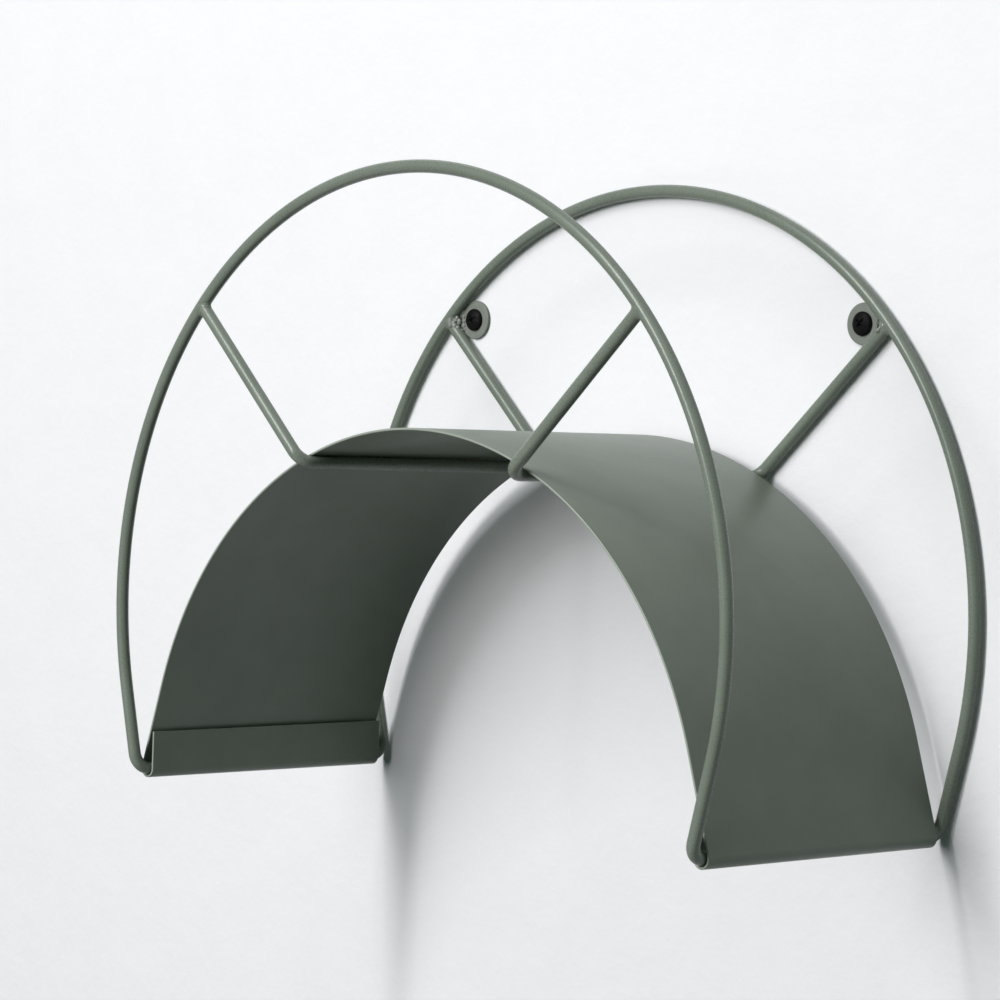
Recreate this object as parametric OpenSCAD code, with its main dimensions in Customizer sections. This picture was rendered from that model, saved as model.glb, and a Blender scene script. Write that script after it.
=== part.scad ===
// Wall-hung holder of bent wire and folded sheet steel.
// It is drawn face-on: X to the right, Y up, Z to the front, with the hoops' centre line as the Z axis.
// The wire and sheet parts are drawn about the plane midway between the hoops, the fixings about the wall.
// stand_on_wall() then turns all of it so that Z is up and the wall is the plane Y = 0, with the origin midway
// between the two wall screws.

/* [Wire] */
// Diameter of the coated wire
wire_d = 5.2; // [4:0.1:7]
// Bend radius of every wire, at its centre line
bend_r = 6.5; // [5:0.5:12]
// Gap at each weld, between the two pieces that it joins
weld_gap = 0.15; // [0.1:0.05:0.4]

/* [Hoops] */
// Radius of a hoop, at the wire's centre line
hoop_r = 172; // [140:1:220]
// Distance between the two hoops' middle planes
hoop_span = 137; // [100:1:180]
// Angle below the horizontal at which a hoop's round part ends
round_end_angle = 14; // [6:1:24]
// Length of a hoop's straight leg, from the round part to the wire in the hem
leg_length = 34.4; // [20:0.2:60]
// Gap between the two hoops' ends inside a hem
hoop_end_gap = 2; // [0.5:0.5:10]

/* [Saddle] */
// Thickness of the sheet
sheet_t = 1; // [0.6:0.1:2]
// Height of the arch's crown above the hoops' centre, at the sheet's middle
crown_rise = 71.6; // [50:0.2:90]
// Slope of the saddle's straight sides, from the vertical
side_slope = 17.6; // [12:0.2:24]
// How far the saddle's edge reaches over the bends of the wires
edge_lap = 1; // [0:0.1:1.3]
// Clearance between the wire and the hem that is rolled round it
hem_gap = 0.3; // [0.2:0.05:0.8]
// Gap between the top of a hem's lip and the saddle's side
lip_top_gap = 1; // [0.3:0.1:2.5]

/* [Stays] */
// Angle above the horizontal at which the stays run out from the hoops' centre
stay_angle = 43.5; // [30:0.5:60]
// How far the end of a stay reaches round the hoop's wire
stay_end_lap = 1; // [0.4:0.1:1.8]

/* [Wall lugs] */
// Diameter of a lug
lug_d = 16.6; // [14:0.2:24]
// Thickness of a lug
lug_t = 1.5; // [1.2:0.1:3]
// Bevel round a lug's front rim
lug_bevel = 0.3; // [0.2:0.1:0.5]
// Clearance between the rear wires and the wall, so that the lugs alone bear on it
wall_gap = 0.5; // [0.1:0.1:0.8]
// Clearance of a lug's hole round the screw, on the diameter
lug_hole_clearance = 0.5; // [0.2:0.1:1]

/* [Wall screws] */
// Diameter of a screw's shank
screw_d = 5; // [4:0.1:5.5]
// Length of a screw under its head
screw_length = 40; // [30:1:60]
// Length of a screw's point
screw_point = 5; // [2:0.5:8]
// Diameter of a screw's head
head_d = 9.5; // [8:0.1:12]
// Height of a screw's head at its middle
head_h = 2.4; // [2:0.1:4]
// Height of a screw's head at its rim
head_rim_h = 1.1; // [0.6:0.1:1.6]
// Length of each slot of the cross recess
recess_length = 5; // [3:0.1:6]
// Width of each slot of the cross recess
recess_width = 1; // [0.6:0.1:1.5]
// Depth of the cross recess
recess_depth = 1.4; // [0.8:0.1:1.8]
// Angle at which the cross recess comes to rest
recess_turn = 42; // [0:1:89]

/* [Wall plugs] */
// Diameter of a plug
plug_d = 8; // [7:0.5:12]
// Length of a plug
plug_length = 40; // [30:1:60]
// Clearance between a screw and its plug
plug_gap = 0.1; // [0.05:0.05:0.3]
// Width of the slit that splits a plug's inner end
slit_width = 1.2; // [0.6:0.1:2]
// Length of that slit
slit_length = 18; // [8:1:28]

/* [Hidden] */
$fn = 96;

coat_colour = [0.36, 0.39, 0.35];
black_zinc = [0.08, 0.08, 0.08];
plug_grey = [0.62, 0.63, 0.64];

// Room by which a cut passes the surface that it opens
cut_room = 1;
// Angle by which a round top is swept past its left end before it is cut there
top_excess = 1;
// How far a lip's faces lie inside the lines that touch its hem's roll, so that they cross the roll cleanly
lip_sink = 0.02;

wire_r = wire_d / 2;

// Distance from the wall to the plane midway between the hoops
middle_depth = wall_gap + wire_r + hoop_span / 2;

// Place of the wire that runs inside the right hem
rail_x = hoop_r * cos(round_end_angle) - leg_length * sin(round_end_angle);
rail_y = -hoop_r * sin(round_end_angle) - leg_length * cos(round_end_angle);

// The hem is rolled round that wire. The saddle's round top is the arc that both sloping sides touch.
hem_r = wire_r + hem_gap + sheet_t / 2;
saddle_r = (rail_x * cos(side_slope) + (rail_y - crown_rise) * sin(side_slope) + hem_r) / (1 - sin(side_slope));
saddle_y = crown_rise - saddle_r;
side_length = (rail_x - (saddle_r - hem_r) * cos(side_slope)) / sin(side_slope);
lip_height = ((hem_r - sheet_t / 2) * (1 + 1 / cos(side_slope)) - lip_top_gap) / tan(side_slope);
saddle_inset = bend_r - edge_lap;
saddle_depth = hoop_span - 2 * saddle_inset;

// Distance from the hoops' centre to a stay's run, which lies against the underside of the saddle's round top
run_to_saddle_centre = saddle_r - sheet_t / 2 - weld_gap - wire_r;
centre_along_stay = saddle_y * sin(stay_angle);
run_r = centre_along_stay + sqrt(centre_along_stay ^ 2 - saddle_y ^ 2 + run_to_saddle_centre ^ 2);
stay_end_r = hoop_r - wire_r + stay_end_lap;

// A lug lies on the wall in the corner between the rear hoop and a stay. Its rim is welded to both wires, so the
// foot of its bevel comes as close as a weld's gap to each wire, at this depth behind the wires' middle.
lug_r = lug_d / 2;
lug_rim_depth = max(0, wire_r + wall_gap - lug_t + lug_bevel);
lug_to_wires = lug_r + sqrt(max(0, (wire_r + weld_gap) ^ 2 - lug_rim_depth ^ 2));
lug_polar_r = hoop_r - lug_to_wires;
lug_angle = stay_angle + asin(lug_to_wires / lug_polar_r);
lug_x = lug_polar_r * cos(lug_angle);
lug_y = lug_polar_r * sin(lug_angle);
dome_r = ((head_d / 2) ^ 2 + (head_h - head_rim_h) ^ 2) / (2 * (head_h - head_rim_h));

module stand_on_wall() {
    rotate([90, 0, 0]) translate([0, -lug_y, 0]) children();
}

// Moves parts that are drawn about the plane midway between the hoops to their place before the wall
module off_the_wall() {
    stand_on_wall() translate([0, 0, middle_depth]) children();
}

// Copies what it holds onto the other side, left for right
module both_sides() {
    children();
    mirror([1, 0, 0]) children();
}

// Swaps the front and the rear
module front_to_rear() {
    mirror([0, 0, 1]) children();
}

// Sweeps a profile over the top, from start_angle on the right to the same height on the left.
// The left end is cut in the mirrored frame of the right one, so both ends meet what goes on from them exactly.
module round_top(radius, start_angle) {
    difference() {
        rotate([0, 0, start_angle])
            rotate_extrude(angle = 180 - 2 * start_angle + top_excess) translate([radius, 0]) children();
        mirror([1, 0, 0]) rotate([0, 0, start_angle]) translate([0, -radius / 4, -radius])
            cube([2 * radius, radius / 4, 2 * radius]);
    }
}

// A quarter bend of wire that starts at the origin, heads along -Y and ends heading along -Z
module quarter_bend() {
    translate([0, 0, -bend_r]) rotate([0, 90, 0]) rotate([0, 0, 180])
        rotate_extrude(angle = 90) translate([bend_r, 0]) circle(d = wire_d);
}

// The front hoop: a round top, and on each side a straight leg, a bend and a run inside the hem
module hoop() {
    straight = leg_length - bend_r;
    run_length = (hoop_span - hoop_end_gap) / 2 - bend_r;
    translate([0, 0, hoop_span / 2]) {
        round_top(hoop_r, -round_end_angle) circle(d = wire_d);
        both_sides() rotate([0, 0, -round_end_angle]) translate([hoop_r, 0, 0]) {
            rotate([90, 0, 0]) cylinder(d = wire_d, h = straight);
            translate([0, -straight, 0]) quarter_bend();
            translate([0, -leg_length, -bend_r - run_length]) cylinder(d = wire_d, h = run_length);
        }
    }
}

// The front arm and the front bend of the right stay, drawn along X. The arm's end is shaped to the hoop.
module stay_arm() {
    cope_angle = 6;
    translate([0, 0, hoop_span / 2]) {
        difference() {
            translate([run_r, 0, 0]) translate([bend_r, 0, 0]) rotate([0, 90, 0])
                cylinder(d = wire_d, h = stay_end_r - run_r - bend_r);
            rotate([0, 0, -cope_angle / 2])
                rotate_extrude(angle = cope_angle) translate([hoop_r, 0]) circle(d = wire_d + 2 * weld_gap);
        }
        translate([run_r, 0, 0]) translate([bend_r, 0, 0]) rotate([0, 0, -90]) quarter_bend();
    }
}

// The right stay: a U of wire with an arm in the plane of each hoop
module stay() {
    half_run = hoop_span / 2 - bend_r;
    rotate([0, 0, stay_angle]) {
        stay_arm();
        front_to_rear() stay_arm();
        translate([run_r, 0, -half_run]) cylinder(d = wire_d, h = 2 * half_run);
    }
}

// The foot of the saddle's right side, drawn from the round top's end down: the straight side, the hem rolled
// round the wire, and the lip that stands up from it
module saddle_side() {
    roll_angle = 180 + side_slope;
    past_tangent = acos(1 - lip_sink / hem_r);
    lip_root = hem_r * sin(past_tangent);
    translate([-sheet_t / 2, -side_length, 0]) cube([sheet_t, side_length, saddle_depth]);
    translate([-hem_r, -side_length, 0]) mirror([0, 1, 0]) {
        rotate_extrude(angle = roll_angle + past_tangent) translate([hem_r, 0])
            translate([-sheet_t / 2, 0]) square([sheet_t, saddle_depth]);
        intersection() {
            rotate([0, 0, roll_angle]) translate([hem_r - lip_sink - sheet_t / 2, -lip_root, -cut_room])
                cube([sheet_t, lip_root + lip_height, saddle_depth + 2 * cut_room]);
            translate([-side_length, -side_length, 0]) cube([2 * side_length, 2 * side_length, saddle_depth]);
        }
    }
}

// The saddle is one sheet: a round top, and on each side a straight side, a hem and a lip
module saddle_sheet() {
    translate([0, saddle_y, -saddle_depth / 2]) {
        round_top(saddle_r, side_slope) translate([-sheet_t / 2, 0]) square([sheet_t, saddle_depth]);
        both_sides() rotate([0, 0, side_slope]) translate([saddle_r, 0, 0]) saddle_side();
    }
}

// The right lug: a disc on the wall, bevelled at its front rim, with a clear hole for the screw
module lug() {
    hole_r = (screw_d + lug_hole_clearance) / 2;
    translate([lug_x, lug_y, 0]) rotate_extrude() polygon([
        [hole_r, 0], [lug_r, 0], [lug_r, lug_t - lug_bevel], [lug_r - lug_bevel, lug_t], [hole_r, lug_t]
    ]);
}

// The right screw: a domed pan head with a cross recess, and a pointed shank
module wall_screw() {
    translate([lug_x, lug_y, lug_t]) {
        difference() {
            intersection() {
                cylinder(d = head_d, h = head_h);
                translate([0, 0, head_h - dome_r]) sphere(r = dome_r);
            }
            for (turn = [0, 90]) rotate([0, 0, recess_turn + turn])
                translate([-recess_length / 2, -recess_width / 2, head_h - recess_depth])
                    cube([recess_length, recess_width, recess_depth + cut_room]);
        }
        rotate([180, 0, 0]) {
            cylinder(d = screw_d, h = screw_length - screw_point);
            translate([0, 0, screw_length - screw_point])
                cylinder(d1 = screw_d, d2 = screw_d / 10, h = screw_point);
        }
    }
}

// The right plug: a sleeve in the wall, split at its inner end
module wall_plug() {
    translate([lug_x, lug_y, -plug_length]) difference() {
        cylinder(d = plug_d, h = plug_length);
        translate([0, 0, -cut_room]) cylinder(d = screw_d + 2 * plug_gap, h = plug_length + 2 * cut_room);
        translate([-plug_d, -slit_width / 2, -cut_room]) cube([2 * plug_d, slit_width, slit_length + cut_room]);
    }
}

module saddle() {
    color(coat_colour) off_the_wall() saddle_sheet();
}

module front_hoop() {
    color(coat_colour) off_the_wall() hoop();
}

module rear_hoop() {
    color(coat_colour) off_the_wall() front_to_rear() hoop();
}

module left_stay() {
    color(coat_colour) off_the_wall() mirror([1, 0, 0]) stay();
}

module right_stay() {
    color(coat_colour) off_the_wall() stay();
}

module left_lug() {
    color(coat_colour) stand_on_wall() mirror([1, 0, 0]) lug();
}

module right_lug() {
    color(coat_colour) stand_on_wall() lug();
}

module wall_screws() {
    color(black_zinc) stand_on_wall() both_sides() wall_screw();
}

module wall_plugs() {
    color(plug_grey) stand_on_wall() both_sides() wall_plug();
}

saddle();
front_hoop();
rear_hoop();
left_stay();
right_stay();
left_lug();
right_lug();
wall_screws();
wall_plugs();
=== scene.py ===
import bpy, bmesh, math
from mathutils import Matrix, Vector, noise


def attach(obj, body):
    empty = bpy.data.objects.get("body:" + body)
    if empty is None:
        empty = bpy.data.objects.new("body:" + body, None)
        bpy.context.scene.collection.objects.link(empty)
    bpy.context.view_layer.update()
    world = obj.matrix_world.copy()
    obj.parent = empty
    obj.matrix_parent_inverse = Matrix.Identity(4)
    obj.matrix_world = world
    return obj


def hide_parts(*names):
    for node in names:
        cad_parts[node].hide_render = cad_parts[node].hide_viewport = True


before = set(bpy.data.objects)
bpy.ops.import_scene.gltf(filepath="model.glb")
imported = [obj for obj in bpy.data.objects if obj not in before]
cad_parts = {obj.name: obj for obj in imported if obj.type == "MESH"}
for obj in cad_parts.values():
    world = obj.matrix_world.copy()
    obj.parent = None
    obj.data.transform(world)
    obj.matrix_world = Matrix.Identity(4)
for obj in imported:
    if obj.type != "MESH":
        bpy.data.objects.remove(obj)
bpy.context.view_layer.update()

scene = bpy.context.scene
mm = 0.001

# Sizes in mm and degrees, as on the drawing of the part: x to the right, y up, z out from the wall
wireSizes = {"radius": 2.6, "bend": 6.5}
hoopSizes = {"radius": 172, "span": 137, "roundEnd": 14, "leg": 34.4, "endGap": 2}
sheetSizes = {"thick": 1, "crown": 71.6, "slope": 17.6, "edgeLap": 1, "hemGap": 0.3, "lipGap": 1}
staySizes = {"angle": 43.5, "weldGap": 0.15}
lugSizes = {"radius": 8.3, "thick": 1.5, "bevel": 0.3, "hole": 2.75, "wallGap": 0.5}
screwSizes = {"head": 4.75, "headHeight": 2.4, "rimHeight": 1.1}


def rad(degrees):
    return math.radians(degrees)


def direction(degrees):
    return Vector((math.cos(rad(degrees)), math.sin(rad(degrees)), 0))


toFront = Vector((0, 0, 1))
wireR, hoopR, lugR = wireSizes["radius"], hoopSizes["radius"], lugSizes["radius"]
roundEnd, slope = rad(hoopSizes["roundEnd"]), rad(sheetSizes["slope"])
middle = lugSizes["wallGap"] + wireR + hoopSizes["span"] / 2   # from the wall to the saddle's middle

# the wire inside the right hem
railX = hoopR * math.cos(roundEnd) - hoopSizes["leg"] * math.sin(roundEnd)
railY = -hoopR * math.sin(roundEnd) - hoopSizes["leg"] * math.cos(roundEnd)

# the sheet's middle touches the hem's roll and the crown
hemR = wireR + sheetSizes["hemGap"] + sheetSizes["thick"] / 2
acrossSlope = railX * math.cos(slope) + (railY - sheetSizes["crown"]) * math.sin(slope)
saddleR = (acrossSlope + hemR) / (1 - math.sin(slope))
saddleY = sheetSizes["crown"] - saddleR
saddleDepth = hoopSizes["span"] - 2 * (wireSizes["bend"] - sheetSizes["edgeLap"])
lipRoom = (hemR - sheetSizes["thick"] / 2) * (1 + 1 / math.cos(slope))
lipHeight = (lipRoom - sheetSizes["lipGap"]) / math.tan(slope)

# a stay's run lies under the sheet
runToCentre = saddleR - sheetSizes["thick"] / 2 - staySizes["weldGap"] - wireR
alongStay = saddleY * math.sin(rad(staySizes["angle"]))
runR = alongStay + math.sqrt(alongStay ** 2 - saddleY ** 2 + runToCentre ** 2)

# a lug's rim lies in the corner between the rear hoop and the stay's arm
rimDepth = wireR + lugSizes["wallGap"] - lugSizes["thick"] + lugSizes["bevel"]
lugToWires = lugR + math.sqrt((wireR + staySizes["weldGap"]) ** 2 - rimDepth ** 2)
lugPolar = hoopR - lugToWires
lugAngle = staySizes["angle"] + math.degrees(math.asin(lugToWires / lugPolar))
lugCentre = direction(lugAngle) * lugPolar


def toRow(p):
    # from the drawing to the CAD's frame
    return Vector((p[0], -p[2], p[1] - lugCentre.y)) * mm


def mirrored(points):
    return [Vector((-p[0], p[1], p[2])) for p in points]


def frontToRear(points):
    return [Vector((p[0], p[1], -p[2])) for p in points]


def linked(name, data):
    obj = bpy.data.objects.new(name, data)
    scene.collection.objects.link(obj)
    return obj


# Camera

cameraSettings = {
    "place": (0.98129, -1.02181, -0.03695), "azimuth": 46.40, "down": 1.56, "roll": 2.07,
    "lens": 123.97, "sensor": 36, "clipEnd": 30,
}


def addCamera():
    az, el, roll = (rad(cameraSettings[key]) for key in ("azimuth", "down", "roll"))
    look = Vector((-math.sin(az) * math.cos(el), math.cos(az) * math.cos(el), -math.sin(el)))
    right = Vector((math.cos(az), math.sin(az), 0))
    top = right.cross(look)
    rolledRight = right * math.cos(roll) + top * math.sin(roll)
    rolledTop = top * math.cos(roll) - right * math.sin(roll)
    turn = Matrix((rolledRight, rolledTop, -look)).transposed().to_4x4()
    data = bpy.data.cameras.new("viewCamera")
    data.lens, data.sensor_width, data.clip_end = (cameraSettings[key] for key in ("lens", "sensor", "clipEnd"))
    camera = linked("viewCamera", data)
    camera.matrix_world = Matrix.Translation(cameraSettings["place"]) @ turn
    scene.camera = camera


addCamera()
print("camera placed")


# Materials

def newMaterial(name):
    material = bpy.data.materials.new(name)
    material.use_nodes = True
    nodes, links = material.node_tree.nodes, material.node_tree.links
    coords = nodes.new("ShaderNodeTexCoord").outputs["Object"]
    return material, nodes, links, nodes["Principled BSDF"], coords


def addNoise(nodes, links, coords, scale, detail=2.0, roughness=0.5):
    node = nodes.new("ShaderNodeTexNoise")
    for key, number in (("Scale", scale), ("Detail", detail), ("Roughness", roughness)):
        node.inputs[key].default_value = number
    links.new(coords, node.inputs["Vector"])
    return node.outputs["Fac"]


def addRange(nodes, links, value, low, high, fromLow=0.3, fromHigh=0.7):
    node = nodes.new("ShaderNodeMapRange")
    for key, number in (("From Min", fromLow), ("From Max", fromHigh), ("To Min", low), ("To Max", high)):
        node.inputs[key].default_value = number
    links.new(value, node.inputs["Value"])
    return node.outputs["Result"]


def fill(links, sockets, values):
    # a number or colour is set, an output is linked
    for socket, value in zip(sockets, values):
        if isinstance(value, (int, float, tuple)):
            socket.default_value = value
        else:
            links.new(value, socket)


def addMath(nodes, links, operation, *values):
    node = nodes.new("ShaderNodeMath")
    node.operation = operation
    fill(links, node.inputs, values)
    return node.outputs["Value"]


def addMix(nodes, links, factor, first, second):
    node = nodes.new("ShaderNodeMix")
    node.data_type = "RGBA"
    fill(links, (node.inputs[0], node.inputs[6], node.inputs[7]), (factor, first, second))
    return node.outputs[2]


def addShaderMix(nodes, links, factor, first, second, output):
    node = nodes.new("ShaderNodeMixShader")
    fill(links, node.inputs, (factor, first, second))
    links.new(node.outputs["Shader"], nodes[output].inputs["Surface"])


def addBump(nodes, links, heights, shader):
    # bumps in a chain, each a height with its strength and its distance
    normal = None
    for height, strength, distance in heights:
        bump = nodes.new("ShaderNodeBump")
        bump.inputs["Strength"].default_value = strength
        bump.inputs["Distance"].default_value = distance
        links.new(height, bump.inputs["Height"])
        if normal:
            links.new(normal, bump.inputs["Normal"])
        normal = bump.outputs["Normal"]
    links.new(normal, shader.inputs["Normal"])


# each noise is its scale, detail and roughness, each facing the share that a face turns that way
coatSettings = {
    "colour": (0.178, 0.206, 0.168, 1), "thin": (0.205, 0.235, 0.195, 1), "dust": (0.32, 0.33, 0.30, 1),
    "patches": (45, 4), "speckle": (2600, 1), "grain": (1500, 3, 0.55), "waves": (90, 2), "speckleShare": 0.16,
    "dustShare": 0.08, "dustFacing": (0.3, 1),
    # edge and its colour paint a highlight, a lighter colour, on a sheet's cut edges
    "edge": 0, "edgeHighlightColour": (0.36, 0.40, 0.345, 1), "edgeFacing": (0.35, 0.85),
    "rough": (0.25, 0.32), "specular": 0.5,
    "wavesHeight": 0.10, "wavesDepth": 0.0006, "grainHeight": 0.05, "grainDepth": 0.00012,
}
sheetLook = {"rough": (0.36, 0.46), "grainHeight": 0.12, "waves": (35, 2)}
# the lugs and welds get the wires' coat painted lighter: painted light, standing for more light falling on them
litLugPaint = {"colour": (0.205, 0.226, 0.196, 1), "thin": (0.245, 0.262, 0.235, 1), "patches": (260, 4)}
weldPaint = {"rough": (0.22, 0.32), "waves": (420, 2), "wavesHeight": 0.35}


def coatMaterial(name, *changes):
    # satin powder coat
    settings = dict(coatSettings)
    for change in changes:
        settings.update(change)
    material, nodes, links, shader, coords = newMaterial(name)
    patches, speckle, grain, waves = (
        addNoise(nodes, links, coords, *settings[key]) for key in ("patches", "speckle", "grain", "waves"))
    base = addMix(nodes, links, addRange(nodes, links, patches, 0, 1), settings["colour"], settings["thin"])
    speckled = addRange(nodes, links, speckle, 0, settings["speckleShare"])
    base = addMix(nodes, links, speckled, base, settings["thin"])
    facing = nodes.new("ShaderNodeSeparateXYZ")
    links.new(nodes.new("ShaderNodeNewGeometry").outputs["Normal"], facing.inputs["Vector"])
    lying = addRange(nodes, links, facing.outputs["Z"], 0, settings["dustShare"], *settings["dustFacing"])
    base = addMix(nodes, links, addMath(nodes, links, "MULTIPLY", lying, patches), base, settings["dust"])
    if settings["edge"]:   # the cut edges face the front and the wall, and a painted highlight lightens them there
        cutEdge = addMath(nodes, links, "ABSOLUTE", facing.outputs["Y"])
        wornAndHighlit = addRange(nodes, links, cutEdge, 0, settings["edge"], *settings["edgeFacing"])
        base = addMix(nodes, links, wornAndHighlit, base, settings["edgeHighlightColour"])
    links.new(base, shader.inputs["Base Color"])
    links.new(addRange(nodes, links, grain, *settings["rough"]), shader.inputs["Roughness"])
    shader.inputs["Specular IOR Level"].default_value = settings["specular"]
    addBump(nodes, links, ((waves, settings["wavesHeight"], settings["wavesDepth"]),
                           (grain, settings["grainHeight"], settings["grainDepth"])), shader)
    return material


wireCoat = coatMaterial("wireCoat")
# the sheet's cut edges carry a painted highlight
sheetCoat = coatMaterial("sheetCoat", sheetLook, {"edge": 0.9})
# lugs and welds in the lighter copy of the coat, painted light
lugCoat = coatMaterial("lugCoat", sheetLook, litLugPaint, {"waves": (300, 2), "wavesHeight": 0.25})
weldCoat = coatMaterial("weldCoat", litLugPaint, weldPaint)

blackSettings = {
    "colour": (0.005, 0.0055, 0.005, 1), "wornAndHighlit": (0.02, 0.02, 0.02, 1), "wear": (700, 4, 0.65),
    "wearRange": (0, 1, 0.56, 0.72), "grain": (2200, 3), "rough": (0.5, 0.62), "bump": (0.12, 0.0001),
    "sockets": {"Specular IOR Level": 0.12},
}
nylonSettings = {
    "colour": (0.33, 0.335, 0.345, 1), "wornAndHighlit": (0.46, 0.46, 0.47, 1), "wear": (260, 5, 0.7),
    "wearRange": (0, 0.6, 0.5, 0.7), "grain": (1300, 3), "rough": (0.42, 0.58), "bump": (0.10, 0.0001),
    "sockets": {"Subsurface Weight": 0.12, "Subsurface Scale": 0.002},
}


def wornMaterial(name, settings):
    material, nodes, links, shader, coords = newMaterial(name)
    grain, wear = (addNoise(nodes, links, coords, *settings[key]) for key in ("grain", "wear"))
    share = addRange(nodes, links, wear, *settings["wearRange"])
    links.new(addMix(nodes, links, share, settings["colour"], settings["wornAndHighlit"]), shader.inputs["Base Color"])
    links.new(addRange(nodes, links, grain, *settings["rough"]), shader.inputs["Roughness"])
    for key, value in settings["sockets"].items():
        shader.inputs[key].default_value = value
    addBump(nodes, links, ((grain, *settings["bump"]),), shader)
    return material


blackScrew = wornMaterial("blackScrew", blackSettings)
greyNylon = wornMaterial("greyNylon", nylonSettings)
print("materials made")


# Shared makers

mergeDistance = 1e-7   # metres


def meshObject(name, verts, faces, edges=()):
    mesh = bpy.data.meshes.new(name)
    mesh.from_pydata([tuple(v) for v in verts], edges, faces)
    mesh.update()
    return linked(name, mesh)


def shapeObject(name, shape):
    mesh = bpy.data.meshes.new(name)
    shape.to_mesh(mesh)
    shape.free()
    return linked(name, mesh)


def lineObject(name, points):
    return meshObject(name, points, (), [(i, i + 1) for i in range(len(points) - 1)])


def joined(name, *parts):
    shape = bmesh.new()
    for part in parts:
        shape.from_mesh(part.data)
        bpy.data.objects.remove(part)
    return shapeObject(name, shape)


def outward(obj, smooth=True):
    # merges doubles and turns the faces outwards
    shape = bmesh.new()
    shape.from_mesh(obj.data)
    bmesh.ops.remove_doubles(shape, verts=shape.verts, dist=mergeDistance)
    bmesh.ops.recalc_face_normals(shape, faces=shape.faces)
    if shape.calc_volume(signed=True) < 0:
        bmesh.ops.reverse_faces(shape, faces=shape.faces)
    for face in shape.faces:
        face.smooth = smooth
    shape.to_mesh(obj.data)
    shape.free()
    return obj


def baked(obj, name):
    # a plain mesh of what the modifiers make
    graph = bpy.context.evaluated_depsgraph_get()
    graph.update()
    mesh = bpy.data.meshes.new_from_object(obj.evaluated_get(graph))
    mesh.name = name
    bpy.data.objects.remove(obj)
    return linked(name, mesh)


def cutAway(obj, tool):
    cut = obj.modifiers.new("cut", "BOOLEAN")
    cut.operation, cut.object, cut.solver = "DIFFERENCE", tool, "EXACT"
    result = baked(obj, obj.name)
    bpy.data.objects.remove(tool)
    return result


def ringFaces(first, second, count):
    # quads between two rings of points, each given by its first point
    turns = [(i, (i + 1) % count) for i in range(count)]
    return [(first + i, first + j, second + j, second + i) for i, j in turns]


def finish(obj, slotName, *nodes):
    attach(obj, "root")
    if nodes:
        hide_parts(*nodes)


def newTree(name, inputs):
    tree = bpy.data.node_groups.new(name, "GeometryNodeTree")
    tree.interface.new_socket("Geometry", in_out="INPUT", socket_type="NodeSocketGeometry")
    sockets = {}
    for label, kind in inputs:
        sockets[label] = tree.interface.new_socket(label, in_out="INPUT", socket_type=kind).identifier
    tree.interface.new_socket("Geometry", in_out="OUTPUT", socket_type="NodeSocketGeometry")
    return tree, tree.nodes.new("NodeGroupInput"), tree.nodes.new("NodeGroupOutput"), sockets


def endTree(tree, start, end, geometry):
    # realized, smooth and with its material
    realize = tree.nodes.new("GeometryNodeRealizeInstances")
    shade = tree.nodes.new("GeometryNodeSetShadeSmooth")
    paint = tree.nodes.new("GeometryNodeSetMaterial")
    tree.links.new(geometry, realize.inputs["Geometry"])
    tree.links.new(realize.outputs[0], shade.inputs["Geometry"])
    tree.links.new(shade.outputs[0], paint.inputs["Geometry"])
    tree.links.new(start.outputs["Finish"], paint.inputs["Material"])
    tree.links.new(paint.outputs[0], end.inputs["Geometry"])


def sweepAlong(tree, start, end, section):
    # the section swept along a line of edges, with closed ends
    line = tree.nodes.new("GeometryNodeMeshToCurve")
    sweep = tree.nodes.new("GeometryNodeCurveToMesh")
    sweep.inputs["Fill Caps"].default_value = True
    tree.links.new(start.outputs["Geometry"], line.inputs["Mesh"])
    tree.links.new(line.outputs["Curve"], sweep.inputs["Curve"])
    tree.links.new(section, sweep.inputs["Profile Curve"])
    endTree(tree, start, end, sweep.outputs["Mesh"])


def wireTree():
    # a round section along a line of edges
    tree, start, end, sockets = newTree("bentWire", (
        ("Radius", "NodeSocketFloat"), ("Sides", "NodeSocketInt"), ("Finish", "NodeSocketMaterial")))
    section = tree.nodes.new("GeometryNodeCurvePrimitiveCircle")
    tree.links.new(start.outputs["Sides"], section.inputs["Resolution"])
    tree.links.new(start.outputs["Radius"], section.inputs["Radius"])
    sweepAlong(tree, start, end, section.outputs["Curve"])
    return tree, sockets


def sheetTree():
    # the sheet's section with rounded edges along the middle of its bend
    tree, start, end, sockets = newTree("foldedSheet", (
        ("Depth", "NodeSocketFloat"), ("Thickness", "NodeSocketFloat"), ("Edge Radius", "NodeSocketFloat"),
        ("Edge Steps", "NodeSocketInt"), ("Finish", "NodeSocketMaterial")))
    section = tree.nodes.new("GeometryNodeCurvePrimitiveQuadrilateral")
    rounded = tree.nodes.new("GeometryNodeFilletCurve")
    rounded.mode = "POLY"
    tree.links.new(start.outputs["Thickness"], section.inputs["Width"])
    tree.links.new(start.outputs["Depth"], section.inputs["Height"])
    tree.links.new(section.outputs["Curve"], rounded.inputs["Curve"])
    tree.links.new(start.outputs["Edge Steps"], rounded.inputs["Count"])
    tree.links.new(start.outputs["Edge Radius"], rounded.inputs["Radius"])
    sweepAlong(tree, start, end, rounded.outputs["Curve"])
    return tree, sockets


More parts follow.
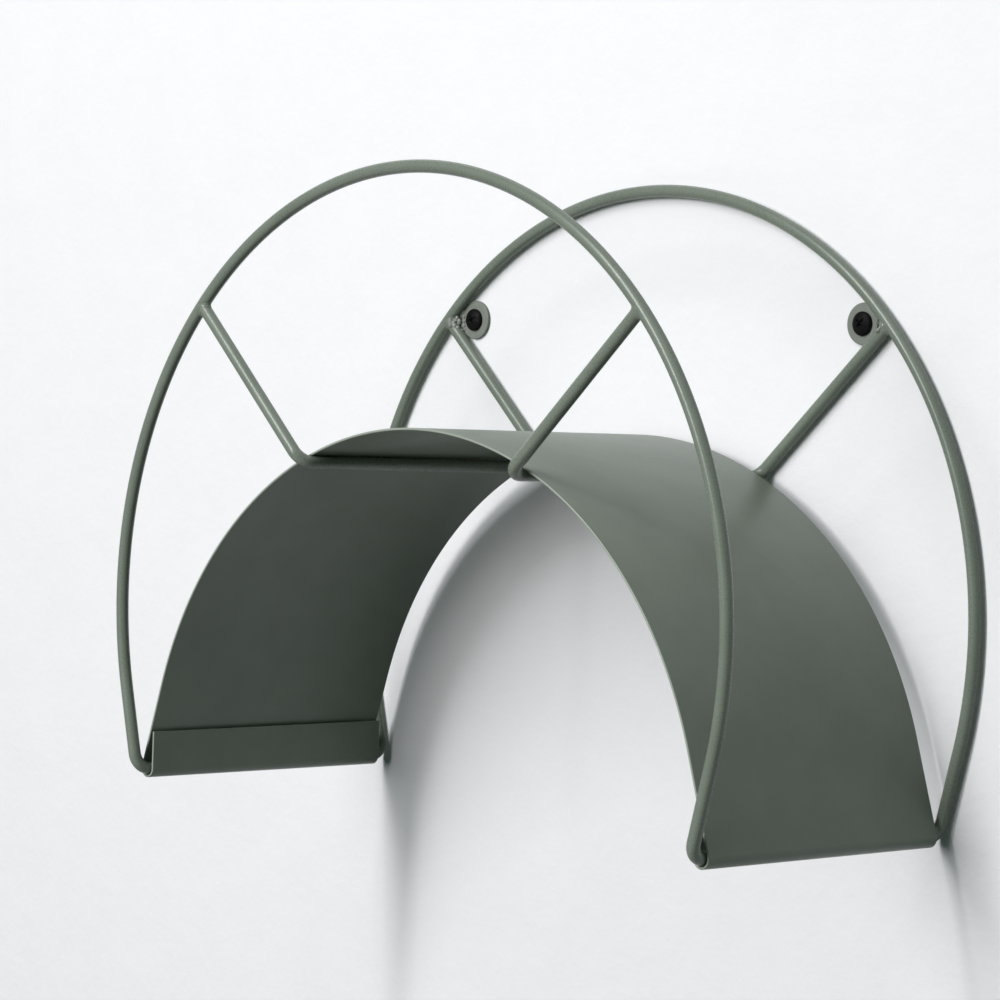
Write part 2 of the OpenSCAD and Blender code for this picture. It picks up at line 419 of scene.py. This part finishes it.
def placeTree():
    # copies of one piece on points, each turned by the angle that its point carries
    tree, start, end, sockets = newTree("wallFixings", (
        ("Piece", "NodeSocketObject"), ("Finish", "NodeSocketMaterial")))
    piece = tree.nodes.new("GeometryNodeObjectInfo")
    piece.inputs["As Instance"].default_value = True
    copies = tree.nodes.new("GeometryNodeInstanceOnPoints")
    turn = tree.nodes.new("GeometryNodeInputNamedAttribute")
    turn.data_type = "FLOAT"
    turn.inputs["Name"].default_value = "turn"
    angles = tree.nodes.new("ShaderNodeCombineXYZ")
    tree.links.new(start.outputs["Piece"], piece.inputs["Object"])
    tree.links.new(start.outputs["Geometry"], copies.inputs["Points"])
    tree.links.new(piece.outputs["Geometry"], copies.inputs["Instance"])
    tree.links.new(turn.outputs["Attribute"], angles.inputs["Y"])
    tree.links.new(angles.outputs["Vector"], copies.inputs["Rotation"])
    endTree(tree, start, end, copies.outputs["Instances"])
    return tree, sockets


def runTree(obj, treeAndSockets, values, name):
    tree, sockets = treeAndSockets
    modifier = obj.modifiers.new(tree.name, "NODES")
    modifier.node_group = tree
    for label, value in values.items():
        modifier[sockets[label]] = value
    return baked(obj, name)


# Wires

# inside keeps the round wire within the CAD's box, armEnd is the share of the wire that an arm stops short by
sweepSettings = {"inside": 0.035, "sides": 32, "bendSteps": 14, "topStep": 1.5, "armEnd": 0.45}
bentWire = wireTree()


def bend(centre, first, second):
    # quarter bend from centre + first to centre + second
    steps = sweepSettings["bendSteps"]
    turns = [rad(90 * i / steps) for i in range(steps + 1)]
    return [centre + (first * math.cos(t) + second * math.sin(t)) * wireSizes["bend"] for t in turns]


def hoopPath():
    # front hoop from the end inside the left hem over the top to the right one
    half, r, low = hoopSizes["span"] / 2, wireSizes["bend"], hoopSizes["roundEnd"]
    down = Vector((-math.sin(roundEnd), -math.cos(roundEnd), 0))
    start = direction(-low) * hoopR + toFront * half
    side = bend(start + down * (hoopSizes["leg"] - r) - toFront * r, toFront, down)
    side.append(Vector((railX, railY, hoopSizes["endGap"] / 2)))
    count = round((180 + 2 * low) / sweepSettings["topStep"])
    turns = [-low + (180 + 2 * low) * i / count for i in range(count + 1)]
    top = [direction(turn) * hoopR + toFront * half for turn in turns]
    return list(reversed(side)) + top + mirrored(side)


def stayPath():
    # right stay from the front hoop round to the rear one
    half, r, away = hoopSizes["span"] / 2, wireSizes["bend"], direction(staySizes["angle"])
    arm = away * (hoopR - wireR * sweepSettings["armEnd"]) + toFront * half
    front = [arm] + bend(away * (runR + r) + toFront * (half - r), toFront, -away)
    return front + frontToRear(reversed(front))


def bentPiece(name, points, node):
    line = lineObject(name + "Line", [toRow(p + toFront * middle) for p in points])
    radius = wireR - sweepSettings["inside"]
    values = {"Radius": radius * mm, "Sides": sweepSettings["sides"], "Finish": wireCoat}
    finish(outward(runTree(line, bentWire, values, name)), "coated_wire", node)


bentPiece("frontHoop", hoopPath(), "front_hoop")
bentPiece("rearHoop", frontToRear(hoopPath()), "rear_hoop")
bentPiece("rightStay", stayPath(), "right_stay")
bentPiece("leftStay", mirrored(stayPath()), "left_stay")
print("wires bent")


# Saddle

saddleSettings = {"topStep": 1.2, "rollStep": 7, "edgeRadius": 0.42, "edgeSteps": 4}


def arc(centre, radius, first, last, step):
    count = max(1, round(abs(last - first) / step))
    return [centre + direction(first + (last - first) * i / count) * radius for i in range(count + 1)]


def saddlePath():
    # middle of the sheet from the top of the left lip over the crown to the top of the right one
    hem = Vector((railX, railY, 0))
    half = arc(Vector((0, saddleY, 0)), saddleR, 90, sheetSizes["slope"], saddleSettings["topStep"])
    half += arc(hem, hemR, sheetSizes["slope"], -180, saddleSettings["rollStep"])
    half.append(hem + Vector((-hemR, lipHeight, 0)))
    return mirrored(list(reversed(half))[:-1]) + half


def makeSaddle():
    line = lineObject("saddleLine", [toRow(p + toFront * middle) for p in saddlePath()])
    values = {"Depth": saddleDepth * mm, "Thickness": sheetSizes["thick"] * mm, "Finish": sheetCoat,
              "Edge Radius": saddleSettings["edgeRadius"] * mm, "Edge Steps": saddleSettings["edgeSteps"]}
    finish(outward(runTree(line, sheetTree(), values, "saddleSheet")), "coated_sheet", "saddle")


makeSaddle()
print("sheet folded")


# Turned pieces

def ringPoint(radius, i, steps, height):
    angle = 2 * math.pi * i / steps
    return math.cos(angle) * radius, math.sin(angle) * radius, height


def turned(name, profile, steps, centre=(0, 0, 0)):
    # turns (radius, height) pairs about the drawing's z axis, a radius of 0 closes an end
    verts, faces, rings = [], [], []
    for radius, height in profile:
        if radius <= 0:
            rings.append([len(verts)])
            verts.append((0, 0, height))
        else:
            rings.append(list(range(len(verts), len(verts) + steps)))
            verts += [ringPoint(radius, i, steps, height) for i in range(steps)]
    closed = profile[0][0] > 0
    pairs = list(zip(rings, rings[1:])) + ([(rings[-1], rings[0])] if closed else [])
    for first, second in pairs:
        for i in range(steps):
            j = (i + 1) % steps
            if len(first) == 1:
                faces.append((first[0], second[i], second[j]))
            elif len(second) == 1:
                faces.append((first[i], second[0], first[j]))
            else:
                faces.append((first[i], second[i], second[j], first[j]))
    return meshObject(name, [toRow(Vector(v) + Vector(centre)) for v in verts], faces)


def rounding(centre, radius, first, last, steps):
    turns = [rad(first + (last - first) * i / steps) for i in range(steps + 1)]
    return [(centre[0] + radius * math.cos(t), centre[1] + radius * math.sin(t)) for t in turns]


lugLook = {"foot": 0.2, "rim": 0.4, "rimSteps": 6, "holeEdge": 0.2, "holeSteps": 3, "steps": 96}


def makeLug(name, node, side):
    thick, rim, edge, foot = lugSizes["thick"], lugLook["rim"], lugLook["holeEdge"], lugLook["foot"]
    profile = [(lugSizes["hole"], 0), (lugR - foot, 0), (lugR, foot)]
    profile += rounding((lugR - rim, thick - rim), rim, 0, 90, lugLook["rimSteps"])
    profile += rounding((lugSizes["hole"] + edge, thick - edge), edge, 90, 180, lugLook["holeSteps"])
    obj = turned(name, profile, lugLook["steps"], (side * lugCentre.x, lugCentre.y, 0))
    obj.data.materials.append(lugCoat)
    finish(outward(obj), "coated_sheet", node)


makeLug("rightLug", "right_lug", 1)
makeLug("leftLug", "left_lug", -1)

screwLook = {
    "turns": (42, 64),
    "headSteps": 64, "foot": 0.25, "edge": 0.3, "edgeSteps": 4, "edgeRise": 1.02, "domeSteps": 8,
    "recess": 5.0, "recessWidth": 1.05, "recessDepth": 1.5, "wing": 0.8, "flare": 1.35,
    "above": 0.6, "mouth": 1.1, "waist": (0.35, 0.86), "recessTaper": 0.42,
    "steps": 32, "rowsPerPitch": 8, "length": 40, "point": 5, "pointShare": 0.1, "plain": 5, "neck": 0.45,
    "core": 1.75, "crest": 2.5, "pitch": 2.2, "tooth": 0.3, "inHead": 0.3,
}


def makeHead():
    # domed head, its top at headHeight above the lug
    high, low, radius = screwSizes["headHeight"], screwSizes["rimHeight"], screwSizes["head"]
    edge, foot, steps = screwLook["edge"], screwLook["foot"], screwLook["edgeSteps"]
    dome = (radius ** 2 + (high - low) ** 2) / (2 * (high - low))
    profile = [(0, 0), (radius - foot, 0), (radius, foot), (radius, low - edge)]
    for i in range(1, steps):
        t = rad(90 * i / steps)
        rise = edge * math.sin(t) * screwLook["edgeRise"]
        profile.append((radius - edge * (1 - math.cos(t)), low - edge + rise))
    for i in range(screwLook["domeSteps"] + 1):
        x = (radius - edge) * (1 - i / screwLook["domeSteps"])
        profile.append((x, high - dome + math.sqrt(dome ** 2 - x ** 2)))
    return turned("screwHead", profile, screwLook["headSteps"])


def crossTool():
    # tapered cross with flared wings
    half, width = screwLook["recess"] / 2, screwLook["recessWidth"] / 2
    wing, flare = width * screwLook["wing"], width * screwLook["flare"]
    high, depth = screwSizes["headHeight"], screwLook["recessDepth"]
    waistDepth, waistShare = screwLook["waist"]
    outline = []
    for turn in range(4):
        quarter = Matrix.Rotation(rad(90 * turn), 3, "Z")
        for x, y in ((half, -wing), (half, wing), (flare, width), (width, flare)):
            outline.append(quarter @ Vector((x, y, 0)))
    levels = ((high + screwLook["above"], screwLook["mouth"]), (high - depth * waistDepth, waistShare),
              (high - depth, screwLook["recessTaper"]))
    verts = [Vector((p.x * share, p.y * share, height)) for height, share in levels for p in outline]
    count = len(outline)
    faces = [tuple(range(count)), tuple(reversed(range(2 * count, 3 * count)))]
    for level in range(2):
        faces += ringFaces(level * count, (level + 1) * count, count)
    return outward(meshObject("crossTool", [toRow(v) for v in verts], faces), False)


def makeShank():
    # threaded shank that runs into the wall, its top inside the head
    length, pitch, steps = screwLook["length"], screwLook["pitch"], screwLook["steps"]
    plainCore, inHead = screwLook["crest"] - screwLook["neck"], screwLook["inHead"]
    rows = round(length / pitch * screwLook["rowsPerPitch"])
    verts, faces = [], []
    for row in range(rows + 1):
        depth = length * row / rows
        taper = min(1, max(screwLook["pointShare"], (length - depth) / screwLook["point"]))
        grown = min(1, max(0, (depth - screwLook["plain"]) / pitch))
        core = screwLook["core"] + (plainCore - screwLook["core"]) * (1 - grown)
        for i in range(steps):
            phase = (depth / pitch - i / steps) % 1
            tooth = max(0, 1 - abs(phase - 0.5) / screwLook["tooth"])
            radius = (core + (screwLook["crest"] - core) * tooth * grown) * taper
            verts.append(ringPoint(radius, i, steps, inHead - depth * (length + inHead) / length))
    for row in range(rows):
        faces += ringFaces(row * steps, (row + 1) * steps, steps)
    faces.append(tuple(range(steps)))
    faces.append(tuple(reversed(range(rows * steps, (rows + 1) * steps))))
    return outward(meshObject("screwShank", [toRow(v) for v in verts], faces))


wallFixings = placeTree()


def placed(piece, name, material, height, turns):
    # one copy in each lug, the piece itself is drawn round the drawing's origin
    spots = [toRow((side * lugCentre.x, lugCentre.y, height)) for side in (1, -1)]
    points = meshObject(name + "Points", spots, ())
    attribute = points.data.attributes.new("turn", "FLOAT", "POINT")
    for i, turn in enumerate(turns):
        attribute.data[i].value = rad(turn)
    piece.data.transform(Matrix.Translation(-toRow((0, 0, 0))))
    obj = runTree(points, wallFixings, {"Piece": piece, "Finish": material}, name)
    bpy.data.objects.remove(piece)
    return obj


head = outward(cutAway(outward(makeHead()), crossTool()))
screw = joined("screw", head, makeShank())
screws = placed(screw, "wallScrews", blackScrew, lugSizes["thick"], screwLook["turns"])
finish(screws, "black_screw", "wall_screws")

plugLook = {
    "radius": 4, "length": 40, "bore": 2.6, "mouth": 0.2, "collar": 6, "collarFall": 0.7, "steps": 48,
    "ribStart": 8, "ribEnd": 36, "ribPitch": 3.5, "ribRoot": 3.5, "ribInside": 0.02, "ribRise": 0.25,
    "ribCrest": 0.55, "ribFall": 0.9, "endSwell": 0.25, "endLength": 1.6, "endTaper": 0.3,
    "slit": 1.2, "slitLength": 18, "past": 1,
}


def makePlug():
    # sleeve with saw-tooth ribs, its mouth at the wall and its split end inside
    radius, length, root, bore = (plugLook[key] for key in ("radius", "length", "ribRoot", "bore"))
    mouth, collar, pitch, past = (plugLook[key] for key in ("mouth", "collar", "ribPitch", "past"))
    profile = [(bore + mouth, 0), (radius - mouth, 0), (radius, -mouth), (radius, -collar)]
    profile.append((root, -collar - plugLook["collarFall"]))
    for rib in range(round((plugLook["ribEnd"] - plugLook["ribStart"]) / pitch)):
        at = plugLook["ribStart"] + rib * pitch
        profile += [(root, -at), (radius - plugLook["ribInside"], -at - plugLook["ribRise"]),
                    (radius, -at - plugLook["ribCrest"]), (root, -at - pitch * plugLook["ribFall"])]
    profile += [(root + plugLook["endSwell"], -length + plugLook["endLength"]),
                (root - plugLook["endTaper"], -length), (bore, -length), (bore, -mouth)]
    plug = outward(turned("plug", profile, plugLook["steps"]))
    wide, half = radius + past, plugLook["slit"] / 2
    low, high = -length - past, -length + plugLook["slitLength"]
    corners = [(x, y, z) for z in (low, high) for y in (-half, half) for x in (-wide, wide)]
    box = meshObject("slitTool", [toRow(c) for c in corners], [
        (0, 1, 3, 2), (4, 6, 7, 5), (0, 4, 5, 1), (2, 3, 7, 6), (0, 2, 6, 4), (1, 5, 7, 3)])
    return cutAway(plug, outward(box, False))


plugs = placed(makePlug(), "wallPlugs", greyNylon, 0, (0, 0))
finish(plugs, "plug_nylon", "wall_plugs")
print("lugs, screws and plugs turned")


# Welds

weldLook = {
    "around": 64, "across": 7, "leg": 1.6, "leastLeg": 0.45, "uneven": 0.16, "unevenSpeed": 1.7, "seedStep": 3,
    "blend": 0.04, "swell": 0.10, "fill": 0.06, "sunk": 0.05, "core": 0.62,
}


def armWeld(side, front):
    # fillet where a stay's arm meets a hoop
    angle = staySizes["angle"] if side > 0 else 180 - staySizes["angle"]
    inward, out = -direction(angle), toFront * front
    along = Vector((-inward.y, inward.x, 0))
    centre = direction(angle) * hoopR + toFront * (front * hoopSizes["span"] / 2 + middle)
    count, across, speed, sunk = (weldLook[key] for key in ("around", "across", "unevenSpeed", "sunk"))
    verts, faces = [], []
    for i in range(count):
        turn = 2 * math.pi * i / count
        c, s = math.cos(turn), math.sin(turn)
        spoke = along * c + out * s
        dip = math.sqrt(c * c + weldLook["blend"])   # the seam's V, rounded off
        seam = (spoke + inward * dip) * wireR
        leg = weldLook["leg"] * (weldLook["leastLeg"] + (1 - weldLook["leastLeg"]) * dip)
        seed = side * weldLook["seedStep"] + front
        leg *= 1 + weldLook["uneven"] * noise.noise(Vector((c * speed, s * speed, seed)))
        reach = (wireR + leg) * c
        curve = hoopR - math.sqrt(hoopR ** 2 - reach ** 2)
        onArm = spoke * wireR + inward * (dip * wireR + leg)
        onHoop = along * reach + out * s * wireR + inward * (abs(c) * wireR + curve)
        raised = seam + along * c * weldLook["swell"] + inward * weldLook["fill"]
        for k in range(across):
            t = k / (across - 1)
            p = onArm * (1 - t) ** 2 + raised * 2 * t * (1 - t) + onHoop * t ** 2
            if k in (0, across - 1):
                p = p - spoke * sunk - inward * sunk * t
            verts.append(toRow(centre + p))
        verts.append(toRow(centre + seam * weldLook["core"]))
    ring = across + 1
    for i in range(count):
        faces += ringFaces(i * ring, (i + 1) % count * ring, ring)
    return outward(meshObject("armWeld", verts, faces))


armWelds = joined("armWelds", *[armWeld(side, front) for side in (-1, 1) for front in (-1, 1)])
armWelds.data.materials.append(wireCoat)
finish(armWelds, "coated_wire")

# drops are (x, y) from the lug's centre, height over the wall, size and flatness
padLook = {
    "voxel": 0.0002, "smooth": 10, "soften": 0.6,
    "steps": 23, "spread": 50, "halfCorner": 45, "reach": 3.1, "least": 0.25, "lap": 0.05,
    "height": 1.25, "uneven": 0.5, "unevenSpeed": 0.9, "seedStep": 4,
    "grow": 0.55, "wide": 0.95, "tall": 0.75, "taller": 0.1,
    "dropLong": 1.1, "dropTurn": 40, "dropTurnStep": 50, "roundness": 3,
    "drops": (
        (11.1, -2.7, 5.5, 1.1, 0.9), (11.8, -1.7, 5.3, 0.9, 0.95), (12.9, -0.9, 4.7, 1.6, 0.75),
        (11.4, -2.1, 5.0, 1.4, 0.7), (9.8, -2.9, 4.3, 1.5, 0.8), (8.3, -3.9, 3.6, 1.3, 0.85),
        (7.0, -4.9, 2.8, 1.0, 0.8), (10.2, -1.2, 4.6, 1.0, 0.8), (12.4, 0.9, 4.3, 1.4, 0.75),
        (11.2, 1.2, 3.9, 1.4, 0.8), (9.8, 0.6, 3.3, 1.4, 0.75), (9.9, 2.9, 3.2, 1.2, 0.7),
        (8.6, -0.9, 2.8, 1.4, 0.65), (8.8, 4.3, 2.6, 1.1, 0.7), (7.4, 3.8, 1.7, 0.9, 0.6),
        (7.3, 5.8, 1.9, 0.8, 0.8), (7.2, 1.4, 1.6, 1.0, 0.5), (6.9, -0.6, 1.6, 1.0, 0.5),
        (6.9, -2.6, 1.7, 1.1, 0.6), (6.2, 2.9, 1.5, 0.7, 0.35), (5.8, -3.9, 1.5, 0.7, 0.45)),
    "slit": {"top": 3.6, "long": 5.6, "reach": 7.2, "bow": 0.5, "width": 1.05, "tip": 0.25, "low": 1.4,
             "high": 6.4, "lean": 0.85, "steps": 12},
}


def blob(shape, centre, radii, turn):
    place = Matrix.Rotation(rad(turn), 4, "Z") @ Matrix.Diagonal((*radii, 1))
    result = bmesh.ops.create_icosphere(shape, subdivisions=padLook["roundness"], radius=1)
    for vert in result["verts"]:
        vert.co = toRow(Vector(centre) + (place @ vert.co))


def slitTool(side):
    # leaning blade that leaves the weld metal open beside the hoop
    slit = padLook["slit"]
    low, high, steps, tip = (slit[key] for key in ("low", "high", "steps", "tip"))
    section = ((-1, low), (1, low), (1, high), (-1, high))
    verts, faces = [], []
    for i in range(steps + 1):
        bow = math.sin(math.pi * i / steps)
        half = slit["width"] / 2 * (tip + (1 - tip) * bow)
        x, y = slit["reach"] + slit["bow"] * bow, slit["top"] - slit["long"] * i / steps
        for across, height in section:
            spot = lugCentre + Vector((x + across * half + slit["lean"] * (height - low), y, 0))
            verts.append(toRow((side * spot.x, spot.y, height)))
    corners = len(section)
    for i in range(steps):
        faces += ringFaces(i * corners, (i + 1) * corners, corners)
    faces += [tuple(range(corners)), tuple(steps * corners + k for k in reversed(range(corners)))]
    return outward(meshObject("slitBlade", verts, faces), False)


def makePad(side):
    # weld metal that fills the corner between a lug's rim, the hoop and the stay's arm
    shape = bmesh.new()
    steps = padLook["steps"]
    inner = lugToWires - math.sqrt(wireR ** 2 - (rimDepth - lugSizes["bevel"]) ** 2)
    corner = direction(staySizes["angle"]) * hoopR - lugCentre
    cornerTurn = math.degrees(math.atan2(corner.y, corner.x))
    for i in range(steps):
        turn = padLook["spread"] * (2 * i / (steps - 1) - 1)
        outer = min(inner / math.cos(rad(padLook["halfCorner"] - abs(turn))), lugR + padLook["reach"])
        room = max(padLook["least"], outer - lugR)
        spot = lugCentre + direction(cornerTurn + turn) * (lugR + room / 2 + padLook["lap"])
        wobble = noise.noise(Vector((i * padLook["unevenSpeed"], side * padLook["seedStep"], 0)))
        height = padLook["height"] + padLook["uneven"] * wobble
        radii = (room / 2 + padLook["grow"], padLook["wide"], padLook["tall"] + padLook["taller"] * room)
        facing = cornerTurn + turn if side > 0 else 180 - cornerTurn - turn
        blob(shape, (side * spot.x, spot.y, height), radii, facing)
    for i, (x, y, height, size, flat) in enumerate(padLook["drops"]):
        turn = side * (padLook["dropTurn"] + padLook["dropTurnStep"] * i)
        blob(shape, (side * (lugCentre.x + x), lugCentre.y + y, height),
             (size * padLook["dropLong"], size, size * flat), turn)
    bmesh.ops.recalc_face_normals(shape, faces=shape.faces)
    obj = shapeObject("pad", shape)
    remesh = obj.modifiers.new("melt", "REMESH")
    remesh.mode, remesh.voxel_size = "VOXEL", padLook["voxel"]
    smooth = obj.modifiers.new("soften", "SMOOTH")
    smooth.factor, smooth.iterations = padLook["soften"], padLook["smooth"]
    return outward(cutAway(baked(obj, "pad"), slitTool(side)))


lugWelds = joined("lugWelds", makePad(1), makePad(-1))
lugWelds.data.materials.append(weldCoat)
finish(lugWelds, "coated_wire")
print("welds laid")


# Stage

# a bounce is the share of each colour that a surface throws back at the object
stageLook = {
    "half": 3.0, "low": -1.1,
    "wall": {"colour": (0.91, 0.905, 0.93, 1), "bounce": (0.345, 0.405, 0.355), "clearBehind": True},
    "floor": {"colour": (0.76, 0.76, 0.755, 1), "bounce": (0.018, 0.022, 0.018), "clearBehind": False},
    "plaster": (28, 6, 0.6), "fine": (210, 3), "paler": 1.02, "rough": 0.9, "specular": 0.2,
    "plasterBump": (0.08, 0.01), "fineBump": (0.16, 0.001),
}


def stageMaterial(name, look):
    # pale to the eye but throwing back less light
    material, nodes, links, shader, coords = newMaterial(name)
    plaster, fine = (addNoise(nodes, links, coords, *stageLook[key]) for key in ("plaster", "fine"))
    paler = tuple(min(1, c * stageLook["paler"]) for c in look["colour"][:3]) + (1,)
    seen = addMix(nodes, links, addRange(nodes, links, plaster, 0, 1), look["colour"], paler)
    path = nodes.new("ShaderNodeLightPath").outputs
    looked = addMath(nodes, links, "MAXIMUM", path["Is Camera Ray"], path["Is Glossy Ray"])
    looked = addMath(nodes, links, "MAXIMUM", looked, path["Is Transmission Ray"])
    thrown = tuple(c * share for c, share in zip(look["colour"], look["bounce"])) + (1,)
    links.new(addMix(nodes, links, looked, thrown, seen), shader.inputs["Base Color"])
    shader.inputs["Roughness"].default_value = stageLook["rough"]
    shader.inputs["Specular IOR Level"].default_value = stageLook["specular"]
    addBump(nodes, links, ((plaster, *stageLook["plasterBump"]), (fine, *stageLook["fineBump"])), shader)
    if look["clearBehind"]:   # to the eye, and to the lamp that lights the object's back
        clear = nodes.new("ShaderNodeBsdfTransparent")
        behind = nodes.new("ShaderNodeNewGeometry").outputs["Backfacing"]
        passed = addMath(nodes, links, "MAXIMUM", behind, path["Is Shadow Ray"])
        addShaderMix(nodes, links, passed, shader.outputs["BSDF"], clear.outputs["BSDF"], "Material Output")
    return material


def stagePiece(name, materialName, corners):
    piece = meshObject(name, corners, [(0, 1, 2, 3)])
    piece.data.materials.append(stageMaterial(materialName, stageLook[name]))
    return piece


def makeStage():
    half, low = stageLook["half"], stageLook["low"]
    wall = stagePiece("wall", "paintedWall", (
        (-half, 0, low), (half, 0, low), (half, 0, half), (-half, 0, half)))
    floor = stagePiece("floor", "paleFloor", (
        (-half, -half, low), (half, -half, low), (half, half, low), (-half, half, low)))


makeStage()
print("stage set")


# Light

white = (1, 1, 1)
lights = (
    {"name": "key", "place": (-0.20, -3.1, 0.40), "size": (1.3, 1.1), "power": 41, "colour": (1.0, 0.998, 0.99),
     "mirrored": False},
    {"name": "strip", "place": (-0.42, -2.44, 1.29), "size": (0.19, 1.84), "power": 49, "colour": white,
     "mirrored": True},
    {"name": "overhead", "place": (0.5, -1.2, 1.9), "size": (2.0, 1.0), "power": 7, "colour": white,
     "mirrored": True},
    {"name": "behind", "place": (-0.5, 3.2, 0.9), "size": (1.6, 1.2), "power": 34, "colour": white,
     "mirrored": False},
)
aim = Vector((0, -0.07, -0.07))
skyLook = {"glow": (0.50, 0.95, 0.86, 1), "strength": 0.06, "seen": (0.78, 0.79, 0.80, 1)}


def addLights():
    for light in lights:
        data = bpy.data.lights.new(light["name"], "AREA")
        data.shape, data.size, data.size_y = "RECTANGLE", *light["size"]
        data.energy, data.color = light["power"], light["colour"]
        lamp = linked(light["name"], data)
        lamp.location = light["place"]
        lamp.rotation_euler = (aim - lamp.location).to_track_quat("-Z", "Y").to_euler()
        lamp.visible_glossy = light["mirrored"]


def addSky():
    # a faint glow on the object, a pale sky to the eye
    world = bpy.data.worlds.new("studio")
    world.use_nodes = True
    nodes, links = world.node_tree.nodes, world.node_tree.links
    glow, seen = nodes["Background"], nodes.new("ShaderNodeBackground")
    glow.inputs["Color"].default_value = skyLook["glow"]
    glow.inputs["Strength"].default_value = skyLook["strength"]
    seen.inputs["Color"].default_value = skyLook["seen"]
    looked = nodes.new("ShaderNodeLightPath").outputs["Is Camera Ray"]
    addShaderMix(nodes, links, looked, glow.outputs["Background"], seen.outputs["Background"], "World Output")
    scene.world = world


addLights()
addSky()
scene.view_settings.view_transform = "Standard"
print("lights on")
